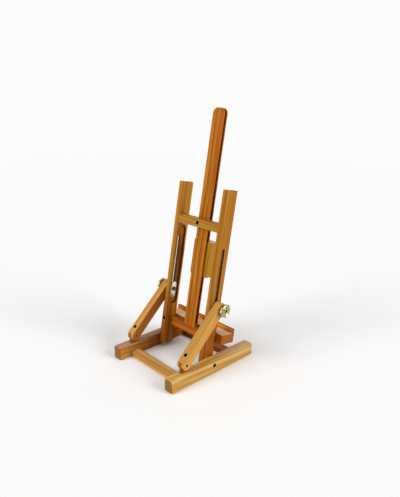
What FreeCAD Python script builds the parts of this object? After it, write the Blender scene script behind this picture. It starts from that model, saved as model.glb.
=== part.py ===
import FreeCAD, Part
import math
import os
from FreeCAD import Vector

# Tabletop H-frame easel. Millimetres, +Z up. The origin is on the table, under the middle of the base.
# The tray faces -Y (the painter's side), the struts stand at +Y, and +X is the painter's right.
# Right-hand pieces are built at +X and mirrored to -X.

os.makedirs("parts", exist_ok=True)

# ---- Base ----
RAIL_LENGTH = 203.0
RAIL_WIDTH = 21.0
RAIL_HEIGHT = 24.0
BASE_WIDTH = 168.0
RAIL_ROUND = 3.0
REAR_CROSS_RAIL_INSET = 25.5   # from the rails' rear ends to the cross rail's outer face
FRONT_CROSS_RAIL_INSET = 28.5
CROSS_RAIL_DEPTH = 18.0
CROSS_RAIL_HEIGHT = 11.0
DOWEL_RADIUS = 3.0
RAIL_DOWEL_DEPTH = 12.0        # in each of the two pieces that a dowel joins
RAIL_DOWEL_SPREAD = 4.5        # either side of the cross rail's centre line

# ---- Easel frame, stated on its own axes: s up along the uprights from the pivot, t to the front ----
PIVOT_Y = 2.0
PIVOT_Z = 16.5
FRAME_LEAN = 9.25              # degrees forward of upright
UPRIGHT_INNER_X = 50.0
UPRIGHT_THICKNESS = 11.0
FRAME_REAR_T = -8.0
FRAME_FRONT_T = 18.3
UPRIGHT_BOTTOM_S = -9.0
UPRIGHT_TOP_S = 310.0
UPRIGHT_TOE_RADIUS = 6.0       # rounded front corner of the lower end
UPRIGHT_HEEL_RADIUS = 4.0
WOOD_EDGE_ROUND = 1.2

SLOT_CENTRE_T = 4.5
RECESS_WIDTH = 20.0            # wide recess on the inner face, in which the nut plate rides
RECESS_DEPTH = 5.0
RECESS_BOTTOM_S = 72.5
RECESS_TOP_S = 229.0
BOLT_SLOT_WIDTH = 6.6          # narrow slot through the rest of the upright
BOLT_SLOT_BOTTOM_S = 86.0
BOLT_SLOT_TOP_S = 208.0

CROSSBAR_HEIGHT = 16.0
UPPER_CROSSBAR_S = 234.5
LOWER_CROSSBAR_S = 29.5
MAST_REAR_T = 7.0              # the upper crossbar's front and the lower crossbar's rear face
CROSSBAR_DOWEL_DEPTH = 8.0
LOWER_DOWEL_S = 35.0

MAST_WIDTH = 28.0
MAST_THICKNESS = 8.4
MAST_TOP_S = 446.5
MAST_CORNER_RADIUS = 10.0
GROOVE_REAR_LIP = 1.4
GROOVE_WIDTH = 5.2
GROOVE_DEPTH = 8.0
GROOVE_START = 6.0             # solid foot below the grooves

TRAY_LENGTH = 152.0
TRAY_BOTTOM_S = 31.5
TRAY_TOP_S = 50.0
TRAY_DEPTH = 27.2
LIP_THICKNESS = 5.5
LIP_TOP_S = 57.8
TRAY_SCREW_S = 43.3
TRAY_SCREW_REACH = 16.0        # into the tray

# ---- Canvas clamp on the mast ----
CLAMP_WIDTH = 42.0
CLAMP_BOTTOM_S = 143.0
CLAMP_HEIGHT = 66.0
CLAMP_REAR_T = 11.6
CLAMP_FRONT_T = 37.0
CLAMP_CLEARANCE = 0.3
CLAMP_TONGUE_LENGTH = 6.0
INSERT_RADIUS = 4.5
INSERT_LENGTH = 12.0

# ---- Struts ----
HINGE_Y = 64.2
HINGE_Z = 38.5
STRUT_CENTRE_X = 71.0
STRUT_WIDTH = 16.0
STRUT_DEPTH = 18.5
FORK_GAP = 6.0
FORK_ROOT = 8.4                # from the hinge pin to the fork's root, which is round on the upper side
FORK_OPEN_TO = -1.5            # from the hinge pin along the strut, where its upper face closes over the fork
TONGUE_THICKNESS = 5.6
TONGUE_WIDTH = 16.0
TONGUE_LET_IN = 10.0           # depth of its mortise in the rail
STRUT_LEAN = 46.2              # degrees forward of upright
STRUT_REACH = 115.5            # from the hinge pin to the centre of the strut's round upper end
BOLT_REST_S = 102.0
EYE_RADIUS = 3.9               # hole in the strut's top, wider than the bolt, which wanders in it
EYE_OFFSET_ALONG = -0.23       # the hole's centre from the bolt at rest, away from the hinge pin
EYE_OFFSET_ACROSS = 0.57       # and square to that, to the rear
STRUT_SCREW_AT = 13.4          # from the hinge pin along the strut

# ---- Hardware ----
RUNNING_CLEARANCE = 0.05       # radial
FACE_GAP = 0.3                 # between faces that slide past each other
SCREW_RADIUS = 1.7
SCREW_HEAD_RADIUS = 3.0
SCREW_HEAD_HEIGHT = 2.2
SCREW_RECESS_RADIUS = 3.3
SCREW_RECESS_DEPTH = 8.0
PIVOT_SCREW_RADIUS = 2.0
PIVOT_HEAD_RADIUS = 3.3
PIVOT_RECESS_RADIUS = 3.6
PIVOT_SCREW_REACH = 8.0        # into the upright
PIVOT_WASHER_RADIUS = 6.5
HINGE_PIN_RADIUS = 2.0
PIN_HEAD_RADIUS = 2.7
PIN_HEAD_HEIGHT = 1.0
PIN_HEAD_SINK = 0.6            # below the strut's outer face
PIN_END_SINK = 0.5             # below its inner face
SCREW_TIP_COVER = 2.0          # wood left beyond a screw's point
FOOT_SCREW_REACH = 12.0        # into the mast
BOLT_RADIUS = 2.5
BOLT_HEAD_RADIUS = 4.3
BOLT_HEAD_HEIGHT = 2.8
NUT_PLATE_ABOVE = 14.0         # from the bolt to the plate's upper end
NUT_PLATE_BELOW = 17.0
NUT_PLATE_WIDTH = 15.0
NUT_PLATE_THICKNESS = 2.4
SPACER_RADIUS = 7.0
KNOB_WASHER_RADIUS = 7.0
KNOB_WASHER_THICKNESS = 1.2
KNOB_RADIUS = 12.5
KNOB_HEIGHT = 7.5
KNOB_LOBES = 8
KNOB_HUB_RADIUS = 7.0
KNOB_HUB_HEIGHT = 1.5
KNOB_SCALLOP_RADIUS = 3.6
KNOB_SCALLOP_DEPTH = 0.8
KNOB_RIM_HEIGHT = 5.5
KNOB_RIM_ROUND = 1.5           # how far the rim's middle stands out from its edges
KNOB_DISH = 1.2                # how far the face's hollow lies below the knob's top
BOLT_END_SINK = 2.5             # how far the bolt's end lies below the knob's face

# ---- Sizes that follow ----
RAIL_OUTER_X = BASE_WIDTH / 2
RAIL_INNER_X = RAIL_OUTER_X - RAIL_WIDTH
UPRIGHT_OUTER_X = UPRIGHT_INNER_X + UPRIGHT_THICKNESS
UPRIGHT_CENTRE_X = UPRIGHT_INNER_X + UPRIGHT_THICKNESS / 2
MAST_FRONT_T = MAST_REAR_T + MAST_THICKNESS
STRUT_INNER_X = STRUT_CENTRE_X - STRUT_WIDTH / 2
STRUT_OUTER_X = STRUT_CENTRE_X + STRUT_WIDTH / 2
CLAMP_SCREW_S = CLAMP_BOTTOM_S + CLAMP_HEIGHT / 2
X_AXIS = Vector(1, 0, 0)
Y_AXIS = Vector(0, 1, 0)
Z_AXIS = Vector(0, 0, 1)


def save(name, *solids):
    """Write one node; a node of identical fasteners holds several solids."""
    shape = solids[0] if len(solids) == 1 else Part.makeCompound(list(solids))
    shape.exportStep("parts/" + name + ".step")
    volume = sum(solid.Volume for solid in solids)
    print(name, "solids", len(shape.Solids), "volume", round(volume, 1), "valid", shape.isValid())


def mirrored(shape):
    return shape.mirror(Vector(0, 0, 0), X_AXIS)


def save_pair(name, right_shape):
    save("right_" + name, right_shape)
    save("left_" + name, mirrored(right_shape))


def block(x0, x1, y0, y1, z0, z1, rounding=0.0):
    """A box between two corners, with all its edges rounded."""
    box = Part.makeBox(x1 - x0, y1 - y0, z1 - z0, Vector(x0, y0, z0))
    return box.makeFillet(rounding, box.Edges) if rounding else box


def rod(radius, start, end, axis, across):
    """A cylinder along X, Y or Z from start to end; across holds its other two coordinates."""
    places = {"x": Vector(start, *across), "y": Vector(across[0], start, across[1]),
              "z": Vector(across[0], across[1], start)}
    directions = {"x": X_AXIS, "y": Y_AXIS, "z": Z_AXIS}
    return Part.makeCylinder(radius, end - start, places[axis], directions[axis])


def in_frame(shape):
    """Lean a frame piece forward and stand it on the pivot. It was drawn upright, with y = -t and z = s."""
    placed = shape.copy()
    placed.rotate(Vector(0, 0, 0), X_AXIS, FRAME_LEAN)
    placed.translate(Vector(0, PIVOT_Y, PIVOT_Z))
    return placed


def frame_block(x0, x1, t0, t1, s0, s1, rounding=0.0):
    return block(x0, x1, -t1, -t0, s0, s1, rounding)


def stadium(width, low_s, high_s, centre_t, x0, x1):
    """A slot's volume: straight sides and round ends, running along s and cut from x0 to x1."""
    radius = width / 2
    low = Vector(x0, -centre_t, low_s + radius)
    high = Vector(x0, -centre_t, high_s - radius)
    side = Vector(0, radius, 0)
    edges = [
        Part.LineSegment(low + side, high + side).toShape(),
        Part.Arc(high + side, high + Vector(0, 0, radius), high - side).toShape(),
        Part.LineSegment(high - side, low - side).toShape(),
        Part.Arc(low - side, low - Vector(0, 0, radius), low + side).toShape(),
    ]
    return Part.Face(Part.Wire(edges)).extrude(Vector(x1 - x0, 0, 0))


def cross_recess(radius, depth):
    """The driver's cross in a screw's head, opening upwards from z = 0."""
    arm = radius * 0.3
    bar = block(-radius * 0.75, radius * 0.75, -arm / 2, arm / 2, -depth, 1.0)
    other = block(-arm / 2, arm / 2, -radius * 0.75, radius * 0.75, -depth, 1.0)
    return bar.fuse(other)


def wood_screw(radius, head_radius, head_height, length):
    """A round-headed screw: the head's underside is at z = 0, and the shank runs down to a point."""
    point = radius * 2
    shank = rod(radius, point - length, 0, "z", (0, 0))
    tip = Part.makeCone(0.2, radius, point, Vector(0, 0, -length), Z_AXIS)
    head = rod(head_radius, 0, head_height, "z", (0, 0))
    rim = [edge for edge in head.Edges if abs(edge.CenterOfMass.z - head_height) < 1e-6]
    head = head.makeFillet(head_height * 0.4, rim)
    head = head.cut(cross_recess(head_radius, head_height * 0.5).translated(Vector(0, 0, head_height)))
    return shank.fuse([tip, head]).removeSplitter()


def screw_space(radius, recess_radius, recess_depth, length):
    """What a recessed screw cuts away, with the head's seat at z = 0."""
    point = radius * 2
    shank = rod(radius, point - length, 0, "z", (0, 0))
    tip = Part.makeCone(0.2, radius, point, Vector(0, 0, -length), Z_AXIS)
    return shank.fuse([tip, rod(recess_radius, 0, recess_depth, "z", (0, 0))])


def aimed(shape, direction, seat):
    """Turn a shape drawn along +Z so that +Z points along direction, with its origin at seat."""
    placed = shape.copy()
    placed.Placement = FreeCAD.Placement(seat, FreeCAD.Rotation(Z_AXIS, direction)).multiply(placed.Placement)
    return placed


def lobed_knob():
    """A brass knob drawn along +Z with its hub's foot at z = 0: a dished disc with scallops round its rim."""
    rim_low = KNOB_HUB_HEIGHT
    rim_high = rim_low + KNOB_RIM_HEIGHT
    rim_edge = KNOB_RADIUS - KNOB_RIM_ROUND
    points = [Vector(0, 0, 0), Vector(KNOB_HUB_RADIUS, 0, 0), Vector(KNOB_HUB_RADIUS, 0, rim_low),
              Vector(rim_edge, 0, rim_low)]
    rim_side = Part.Arc(Vector(rim_edge, 0, rim_low), Vector(KNOB_RADIUS, 0, (rim_low + rim_high) / 2),
                        Vector(rim_edge, 0, rim_high)).toShape()
    dish = Part.Arc(Vector(rim_edge, 0, rim_high), Vector(KNOB_RADIUS * 0.6, 0, KNOB_HEIGHT - KNOB_DISH),
                    Vector(BOLT_RADIUS, 0, KNOB_HEIGHT)).toShape()
    edges = [Part.LineSegment(points[i], points[i + 1]).toShape() for i in range(3)]
    edges += [rim_side, dish, Part.LineSegment(Vector(BOLT_RADIUS, 0, KNOB_HEIGHT),
                                               Vector(0, 0, KNOB_HEIGHT)).toShape(),
              Part.LineSegment(Vector(0, 0, KNOB_HEIGHT), Vector(0, 0, 0)).toShape()]
    knob = Part.Face(Part.Wire(edges)).revolve(Vector(0, 0, 0), Z_AXIS, 360)
    scallop_centre = KNOB_RADIUS + KNOB_SCALLOP_RADIUS - KNOB_SCALLOP_DEPTH
    for index in range(KNOB_LOBES):
        angle = 2 * math.pi * (index + 0.5) / KNOB_LOBES
        centre = (math.cos(angle) * scallop_centre, math.sin(angle) * scallop_centre)
        knob = knob.cut(rod(KNOB_SCALLOP_RADIUS, rim_low - 1, KNOB_HEIGHT, "z", centre))
    return knob


# ---- Base ----
half_length = RAIL_LENGTH / 2
rear_cross_y = half_length - REAR_CROSS_RAIL_INSET - CROSS_RAIL_DEPTH / 2
front_cross_y = FRONT_CROSS_RAIL_INSET + CROSS_RAIL_DEPTH / 2 - half_length
dowel_z = CROSS_RAIL_HEIGHT / 2
dowel_places = [(centre_y + offset, dowel_z) for centre_y in (rear_cross_y, front_cross_y)
                for offset in (RAIL_DOWEL_SPREAD, -RAIL_DOWEL_SPREAD)]
rail_dowels = [rod(DOWEL_RADIUS, RAIL_INNER_X - RAIL_DOWEL_DEPTH, RAIL_INNER_X + RAIL_DOWEL_DEPTH, "x", place)
               for place in dowel_places]

pivot_seat_x = RAIL_OUTER_X - SCREW_RECESS_DEPTH
pivot_place = (PIVOT_Y, PIVOT_Z)
pivot_bore = rod(PIVOT_SCREW_RADIUS + RUNNING_CLEARANCE, RAIL_INNER_X, RAIL_OUTER_X, "x", pivot_place)
pivot_recess = rod(PIVOT_RECESS_RADIUS, pivot_seat_x, RAIL_OUTER_X, "x", pivot_place)

tongue_space = block(STRUT_CENTRE_X - TONGUE_THICKNESS / 2, STRUT_CENTRE_X + TONGUE_THICKNESS / 2,
                     HINGE_Y - TONGUE_WIDTH / 2, HINGE_Y + TONGUE_WIDTH / 2,
                     RAIL_HEIGHT - TONGUE_LET_IN, RAIL_HEIGHT)

rail = block(RAIL_INNER_X, RAIL_OUTER_X, -half_length, half_length, 0, RAIL_HEIGHT, RAIL_ROUND)
rail = rail.cut(rail_dowels + [pivot_bore, pivot_recess, tongue_space])
save_pair("rail", rail)


def cross_rail(centre_y):
    bar = block(-RAIL_INNER_X, RAIL_INNER_X, centre_y - CROSS_RAIL_DEPTH / 2, centre_y + CROSS_RAIL_DEPTH / 2,
                0, CROSS_RAIL_HEIGHT)
    long_edges = [edge for edge in bar.Edges if edge.Length > CROSS_RAIL_DEPTH + 1]
    bar = bar.makeFillet(WOOD_EDGE_ROUND, long_edges)
    return bar.cut(rail_dowels + [mirrored(dowel) for dowel in rail_dowels])


save("rear_cross_rail", cross_rail(rear_cross_y))
save("front_cross_rail", cross_rail(front_cross_y))
save("rail_dowels", *(rail_dowels + [mirrored(dowel) for dowel in rail_dowels]))

# The hinge tongue stands in a mortise in the rail, with a round top about the hinge pin.
tongue_foot = block(STRUT_CENTRE_X - TONGUE_THICKNESS / 2, STRUT_CENTRE_X + TONGUE_THICKNESS / 2,
                    HINGE_Y - TONGUE_WIDTH / 2, HINGE_Y + TONGUE_WIDTH / 2, RAIL_HEIGHT - TONGUE_LET_IN, HINGE_Z)
tongue_top = rod(TONGUE_WIDTH / 2, STRUT_CENTRE_X - TONGUE_THICKNESS / 2, STRUT_CENTRE_X + TONGUE_THICKNESS / 2,
                 "x", (HINGE_Y, HINGE_Z))
tongue_bore = rod(HINGE_PIN_RADIUS + RUNNING_CLEARANCE, STRUT_INNER_X, STRUT_OUTER_X, "x", (HINGE_Y, HINGE_Z))
save_pair("hinge_tongue", tongue_foot.fuse(tongue_top).removeSplitter().cut(tongue_bore))

# ---- Frame: fasteners first, because the wood is cut to them ----
upper_dowel_s = UPPER_CROSSBAR_S + CROSSBAR_HEIGHT / 2
crossbar_dowels = []
for dowel_t, dowel_s in ((-4.0, upper_dowel_s), (3.5, upper_dowel_s), (12.0, LOWER_DOWEL_S)):
    crossbar_dowels.append(rod(DOWEL_RADIUS, UPRIGHT_INNER_X - CROSSBAR_DOWEL_DEPTH,
                               UPRIGHT_INNER_X + CROSSBAR_DOWEL_DEPTH, "x", (-dowel_t, dowel_s)))
crossbar_dowels += [mirrored(dowel) for dowel in crossbar_dowels]

tray_seat_t = FRAME_REAR_T + SCREW_RECESS_DEPTH
tray_screw_length = FRAME_FRONT_T + TRAY_SCREW_REACH - tray_seat_t
mast_seat_t = FRAME_REAR_T + SCREW_RECESS_DEPTH
mast_screw_length = MAST_FRONT_T - SCREW_TIP_COVER - mast_seat_t
foot_seat_s = LOWER_CROSSBAR_S + SCREW_RECESS_DEPTH
foot_screw_length = LOWER_CROSSBAR_S + CROSSBAR_HEIGHT + FOOT_SCREW_REACH - foot_seat_s
mast_centre_t = (MAST_REAR_T + MAST_FRONT_T) / 2

screw_sites = {
    "tray": (tray_screw_length, Y_AXIS, Vector(UPRIGHT_CENTRE_X, -tray_seat_t, TRAY_SCREW_S)),
    "mast": (mast_screw_length, Y_AXIS, Vector(0, -mast_seat_t, upper_dowel_s)),
    "foot": (foot_screw_length, -Z_AXIS, Vector(0, -mast_centre_t, foot_seat_s)),
}
screws = {}
screw_spaces = {}
for site, (length, direction, seat) in screw_sites.items():
    screws[site] = aimed(wood_screw(SCREW_RADIUS, SCREW_HEAD_RADIUS, SCREW_HEAD_HEIGHT, length), direction, seat)
    screw_spaces[site] = aimed(screw_space(SCREW_RADIUS, SCREW_RECESS_RADIUS, SCREW_RECESS_DEPTH + 1, length),
                               direction, seat)

# The pivot screw turns with the upright it bites into, and runs free in the rail. It isn't leaned.
pivot_screw_length = pivot_seat_x + FACE_GAP - UPRIGHT_OUTER_X + PIVOT_SCREW_REACH
pivot_screw = aimed(wood_screw(PIVOT_SCREW_RADIUS, PIVOT_HEAD_RADIUS, SCREW_HEAD_HEIGHT, pivot_screw_length),
                    X_AXIS, Vector(pivot_seat_x + FACE_GAP, 0, 0))
pivot_space = aimed(screw_space(PIVOT_SCREW_RADIUS, PIVOT_RECESS_RADIUS, SCREW_RECESS_DEPTH, pivot_screw_length),
                    X_AXIS, Vector(pivot_seat_x + FACE_GAP, 0, 0))
pivot_washer = rod(PIVOT_WASHER_RADIUS, UPRIGHT_OUTER_X, RAIL_INNER_X - FACE_GAP, "x", (0, 0))
pivot_washer = pivot_washer.cut(rod(PIVOT_SCREW_RADIUS, 0, RAIL_OUTER_X, "x", (0, 0)))

# Uprights: a square top, a rounded toe and heel, and the stepped slot.
upright = frame_block(UPRIGHT_INNER_X, UPRIGHT_OUTER_X, FRAME_REAR_T, FRAME_FRONT_T, UPRIGHT_BOTTOM_S, UPRIGHT_TOP_S)
lower_ends = [edge for edge in upright.Edges
              if abs(edge.CenterOfMass.z - UPRIGHT_BOTTOM_S) < 1e-6 and edge.Length < UPRIGHT_THICKNESS + 1e-6]
toe = [edge for edge in lower_ends if abs(edge.CenterOfMass.y + FRAME_FRONT_T) < 1e-6]
heel = [edge for edge in lower_ends if abs(edge.CenterOfMass.y + FRAME_REAR_T) < 1e-6]
upright = upright.makeFillet(UPRIGHT_TOE_RADIUS, toe)
heel = [edge for edge in upright.Edges if abs(edge.CenterOfMass.z - UPRIGHT_BOTTOM_S) < 1e-6
        and abs(edge.CenterOfMass.y + FRAME_REAR_T) < 1e-6]
upright = upright.makeFillet(UPRIGHT_HEEL_RADIUS, heel)
upright = upright.makeFillet(WOOD_EDGE_ROUND, upright.Edges)
recess = stadium(RECESS_WIDTH, RECESS_BOTTOM_S, RECESS_TOP_S, SLOT_CENTRE_T,
                 UPRIGHT_INNER_X - 1, UPRIGHT_INNER_X + RECESS_DEPTH)
bolt_slot = stadium(BOLT_SLOT_WIDTH, BOLT_SLOT_BOTTOM_S, BOLT_SLOT_TOP_S, SLOT_CENTRE_T,
                    UPRIGHT_INNER_X, UPRIGHT_OUTER_X + 1)
upright = upright.cut([recess, bolt_slot, screw_spaces["tray"], pivot_space] + crossbar_dowels)
save_pair("upright", in_frame(upright))


def crossbar(rear_t, front_t, bottom_s):
    bar = frame_block(-UPRIGHT_INNER_X, UPRIGHT_INNER_X, rear_t, front_t, bottom_s, bottom_s + CROSSBAR_HEIGHT)
    long_edges = [edge for edge in bar.Edges if edge.Length > 2 * UPRIGHT_INNER_X - 1]
    return bar.makeFillet(WOOD_EDGE_ROUND, long_edges).cut(crossbar_dowels)


upper_crossbar = crossbar(FRAME_REAR_T, MAST_REAR_T, UPPER_CROSSBAR_S).cut(screw_spaces["mast"])
lower_crossbar = crossbar(MAST_REAR_T, FRAME_FRONT_T, LOWER_CROSSBAR_S).cut(screw_spaces["foot"])
save("upper_crossbar", in_frame(upper_crossbar))
save("lower_crossbar", in_frame(lower_crossbar))
save("crossbar_dowels", *[in_frame(dowel) for dowel in crossbar_dowels])

# Mast: a round-shouldered board with a groove down each side, open at the top.
mast_bottom_s = LOWER_CROSSBAR_S + CROSSBAR_HEIGHT
mast = frame_block(-MAST_WIDTH / 2, MAST_WIDTH / 2, MAST_REAR_T, MAST_FRONT_T, mast_bottom_s, MAST_TOP_S)
shoulders = [edge for edge in mast.Edges if abs(edge.CenterOfMass.z - MAST_TOP_S) < 1e-6
             and abs(abs(edge.CenterOfMass.x) - MAST_WIDTH / 2) < 1e-6]
mast = mast.makeFillet(MAST_CORNER_RADIUS, shoulders)
rear_arris = [edge for edge in mast.Edges if abs(edge.CenterOfMass.y + MAST_REAR_T) < 1e-6
              and edge.CenterOfMass.z > mast_bottom_s + 1]
mast = mast.makeFillet(WOOD_EDGE_ROUND * 0.6, rear_arris)
groove_rear_t = MAST_REAR_T + GROOVE_REAR_LIP
groove_front_t = groove_rear_t + GROOVE_WIDTH
groove = frame_block(MAST_WIDTH / 2 - GROOVE_DEPTH, MAST_WIDTH, groove_rear_t, groove_front_t,
                     mast_bottom_s + GROOVE_START, MAST_TOP_S + 1)
mast = mast.cut([groove, mirrored(groove), screw_spaces["mast"], screw_spaces["foot"]])
save("mast", in_frame(mast))
save("mast_screws", in_frame(screws["mast"]), in_frame(screws["foot"]))

# Tray: a bar screwed to the uprights' front, with a raised lip glued along it.
tray_front_t = FRAME_FRONT_T + TRAY_DEPTH
half_tray = TRAY_LENGTH / 2
shelf = frame_block(-half_tray, half_tray, FRAME_FRONT_T, tray_front_t, TRAY_BOTTOM_S, TRAY_TOP_S)
shelf_arris = [edge for edge in shelf.Edges if abs(edge.CenterOfMass.y + tray_front_t) > 1e-6]
shelf = shelf.makeFillet(WOOD_EDGE_ROUND, shelf_arris)
shelf = shelf.cut([screw_spaces["tray"], mirrored(screw_spaces["tray"])])
lip = frame_block(-half_tray, half_tray, tray_front_t, tray_front_t + LIP_THICKNESS, TRAY_BOTTOM_S, LIP_TOP_S)
lip = lip.makeFillet(WOOD_EDGE_ROUND, [edge for edge in lip.Edges
                                       if abs(edge.CenterOfMass.y + tray_front_t) > 1e-6
                                       or abs(edge.CenterOfMass.z - LIP_TOP_S) < 1e-6])
save("tray_shelf", in_frame(shelf))
save("tray_lip", in_frame(lip))
save("tray_screws", in_frame(screws["tray"]), in_frame(mirrored(screws["tray"])))
save("pivot_screws", in_frame(pivot_screw), in_frame(mirrored(pivot_screw)))
save("pivot_washers", in_frame(pivot_washer), in_frame(mirrored(pivot_washer)))

# ---- Canvas clamp: it straddles the mast's front, and its tongues run in the mast's grooves ----
half_clamp = CLAMP_WIDTH / 2
clamp_top_s = CLAMP_BOTTOM_S + CLAMP_HEIGHT
clamp = frame_block(-half_clamp, half_clamp, CLAMP_REAR_T, CLAMP_FRONT_T, CLAMP_BOTTOM_S, clamp_top_s,
                    WOOD_EDGE_ROUND)
channel_x = MAST_WIDTH / 2 + CLAMP_CLEARANCE
channel_t = MAST_FRONT_T + CLAMP_CLEARANCE
tongue_front_t = groove_front_t - CLAMP_CLEARANCE
throat_x = MAST_WIDTH / 2 - CLAMP_TONGUE_LENGTH
channel = frame_block(-channel_x, channel_x, tongue_front_t, channel_t, CLAMP_BOTTOM_S - 1, clamp_top_s + 1)
throat = frame_block(-throat_x, throat_x, CLAMP_REAR_T - 1, channel_t, CLAMP_BOTTOM_S - 1, clamp_top_s + 1)
insert_bore = rod(INSERT_RADIUS, -CLAMP_FRONT_T, INSERT_LENGTH - CLAMP_FRONT_T, "y", (0, CLAMP_SCREW_S))
clamp_bore = rod(BOLT_RADIUS + FACE_GAP, -CLAMP_FRONT_T, -channel_t, "y", (0, CLAMP_SCREW_S))
save("clamp_block", in_frame(clamp.cut([channel, throat, insert_bore, clamp_bore])))

insert = insert_bore.cut(rod(BOLT_RADIUS + RUNNING_CLEARANCE, -CLAMP_FRONT_T, 0, "y", (0, CLAMP_SCREW_S)))
save("clamp_insert", in_frame(insert))
clamp_knob_foot_t = CLAMP_FRONT_T + 2.0
clamp_knob_end_t = clamp_knob_foot_t + KNOB_HEIGHT
clamp_stud = rod(BOLT_RADIUS, -clamp_knob_end_t + 1.0, -channel_t, "y", (0, CLAMP_SCREW_S))
clamp_knob = aimed(lobed_knob(), -Y_AXIS, Vector(0, -clamp_knob_foot_t, CLAMP_SCREW_S)).cut(clamp_stud)
save("clamp_screw", in_frame(clamp_stud))
save("clamp_knob", in_frame(clamp_knob))

# ---- Slot bolts, which slide along the uprights ----
recess_floor_x = UPRIGHT_INNER_X + RECESS_DEPTH
plate_outer_x = recess_floor_x - FACE_GAP
plate_inner_x = plate_outer_x - NUT_PLATE_THICKNESS
bolt_place = (-SLOT_CENTRE_T, BOLT_REST_S)
knob_washer_x = STRUT_OUTER_X + FACE_GAP
knob_foot_x = knob_washer_x + KNOB_WASHER_THICKNESS + FACE_GAP
bolt_end_x = knob_foot_x + KNOB_HEIGHT - BOLT_END_SINK
shank = rod(BOLT_RADIUS, plate_inner_x, bolt_end_x, "x", bolt_place)
head = rod(BOLT_HEAD_RADIUS, plate_inner_x - BOLT_HEAD_HEIGHT, plate_inner_x, "x", bolt_place)
head_rim = [edge for edge in head.Edges if abs(edge.CenterOfMass.x - plate_inner_x + BOLT_HEAD_HEIGHT) < 1e-6]
head = head.makeFillet(BOLT_HEAD_HEIGHT * 0.75, head_rim)
save_pair("slot_bolt", in_frame(shank.fuse(head).removeSplitter()))

plate = stadium(NUT_PLATE_WIDTH, BOLT_REST_S - NUT_PLATE_BELOW, BOLT_REST_S + NUT_PLATE_ABOVE, SLOT_CENTRE_T,
                plate_inner_x, plate_outer_x)
save_pair("nut_plate", in_frame(plate.cut(shank)))

spacer = rod(SPACER_RADIUS, UPRIGHT_OUTER_X + FACE_GAP, STRUT_INNER_X - FACE_GAP, "x", bolt_place).cut(shank)
save_pair("spacer_washer", in_frame(spacer))
knob_washer = rod(KNOB_WASHER_RADIUS, knob_washer_x, knob_washer_x + KNOB_WASHER_THICKNESS, "x", bolt_place)
save_pair("knob_washer", in_frame(knob_washer.cut(shank)))
knob_bore = rod(BOLT_RADIUS + RUNNING_CLEARANCE, 0, knob_foot_x + KNOB_HEIGHT + 1, "x", bolt_place)
knob = aimed(lobed_knob(), X_AXIS, Vector(knob_foot_x, *bolt_place)).cut(knob_bore)
save_pair("knob", in_frame(knob))

# ---- Struts: drawn standing on the hinge pin, then leaned ----
lean = math.radians(FRAME_LEAN)
bolt_y = PIVOT_Y - (BOLT_REST_S * math.sin(lean) + SLOT_CENTRE_T * math.cos(lean))
bolt_z = PIVOT_Z + BOLT_REST_S * math.cos(lean) - SLOT_CENTRE_T * math.sin(lean)
bolt_reach = math.hypot(HINGE_Y - bolt_y, bolt_z - HINGE_Z)
bolt_lean = math.degrees(math.atan2(HINGE_Y - bolt_y, bolt_z - HINGE_Z))
print("bolt reach", round(bolt_reach, 2), "lean", round(bolt_lean, 2), "y", round(bolt_y, 3), "z", round(bolt_z, 3))


def on_hinge(shape):
    placed = shape.copy()
    placed.rotate(Vector(0, 0, 0), X_AXIS, STRUT_LEAN)
    placed.translate(Vector(0, HINGE_Y, HINGE_Z))
    return placed


end_radius = STRUT_DEPTH / 2
strut = block(STRUT_INNER_X, STRUT_OUTER_X, -end_radius, end_radius, -end_radius, STRUT_REACH + end_radius)
end_edges = [edge for edge in strut.Edges if abs(edge.Length - STRUT_WIDTH) < 1e-6]
strut = strut.makeFillet(end_radius - 0.01, end_edges)
strut = strut.makeFillet(WOOD_EDGE_ROUND, [edge for edge in strut.Edges if edge.Length > STRUT_WIDTH + 1e-3])
fork_x = (STRUT_CENTRE_X - FORK_GAP / 2, STRUT_CENTRE_X + FORK_GAP / 2)
fork = block(*fork_x, -end_radius - 1, end_radius + 1, -end_radius - 1, FORK_OPEN_TO)
fork_underside = block(*fork_x, -end_radius - 1, 0, FORK_OPEN_TO, FORK_ROOT)
fork = fork.fuse([fork_underside, rod(FORK_ROOT, *fork_x, "x", (0, 0))])
eye = rod(EYE_RADIUS, STRUT_INNER_X - 1, STRUT_OUTER_X + 1, "x",
          (EYE_OFFSET_ACROSS, bolt_reach + EYE_OFFSET_ALONG))
eye.rotate(Vector(0, 0, 0), X_AXIS, bolt_lean - STRUT_LEAN)
pin_hole = rod(HINGE_PIN_RADIUS, STRUT_INNER_X - 1, STRUT_OUTER_X + 1, "x", (0, 0))
pin_recess = rod(PIN_HEAD_RADIUS, STRUT_OUTER_X - PIN_HEAD_HEIGHT - PIN_HEAD_SINK, STRUT_OUTER_X + 1, "x", (0, 0))
strut_screw_length = STRUT_DEPTH - SCREW_RECESS_DEPTH - SCREW_TIP_COVER
strut_screw_seat = Vector(STRUT_CENTRE_X, end_radius - SCREW_RECESS_DEPTH, STRUT_SCREW_AT)
strut_screw = aimed(wood_screw(SCREW_RADIUS, SCREW_HEAD_RADIUS, SCREW_HEAD_HEIGHT, strut_screw_length), Y_AXIS,
                    strut_screw_seat)
strut_screw_space = aimed(screw_space(SCREW_RADIUS, SCREW_RECESS_RADIUS, SCREW_RECESS_DEPTH, strut_screw_length),
                          Y_AXIS, strut_screw_seat)
save_pair("strut", on_hinge(strut.cut([fork, eye, pin_hole, pin_recess, strut_screw_space])))
save_pair("strut_screw", on_hinge(strut_screw))

pin_end_x = STRUT_OUTER_X - PIN_HEAD_SINK
pin = rod(HINGE_PIN_RADIUS, STRUT_INNER_X + PIN_END_SINK, pin_end_x, "x", (0, 0))
pin = pin.fuse(rod(PIN_HEAD_RADIUS, pin_end_x - PIN_HEAD_HEIGHT, pin_end_x, "x", (0, 0))).removeSplitter()
save_pair("hinge_pin", on_hinge(pin))
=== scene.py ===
import math
import bpy
import bmesh
from mathutils import Matrix, Vector


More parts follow.
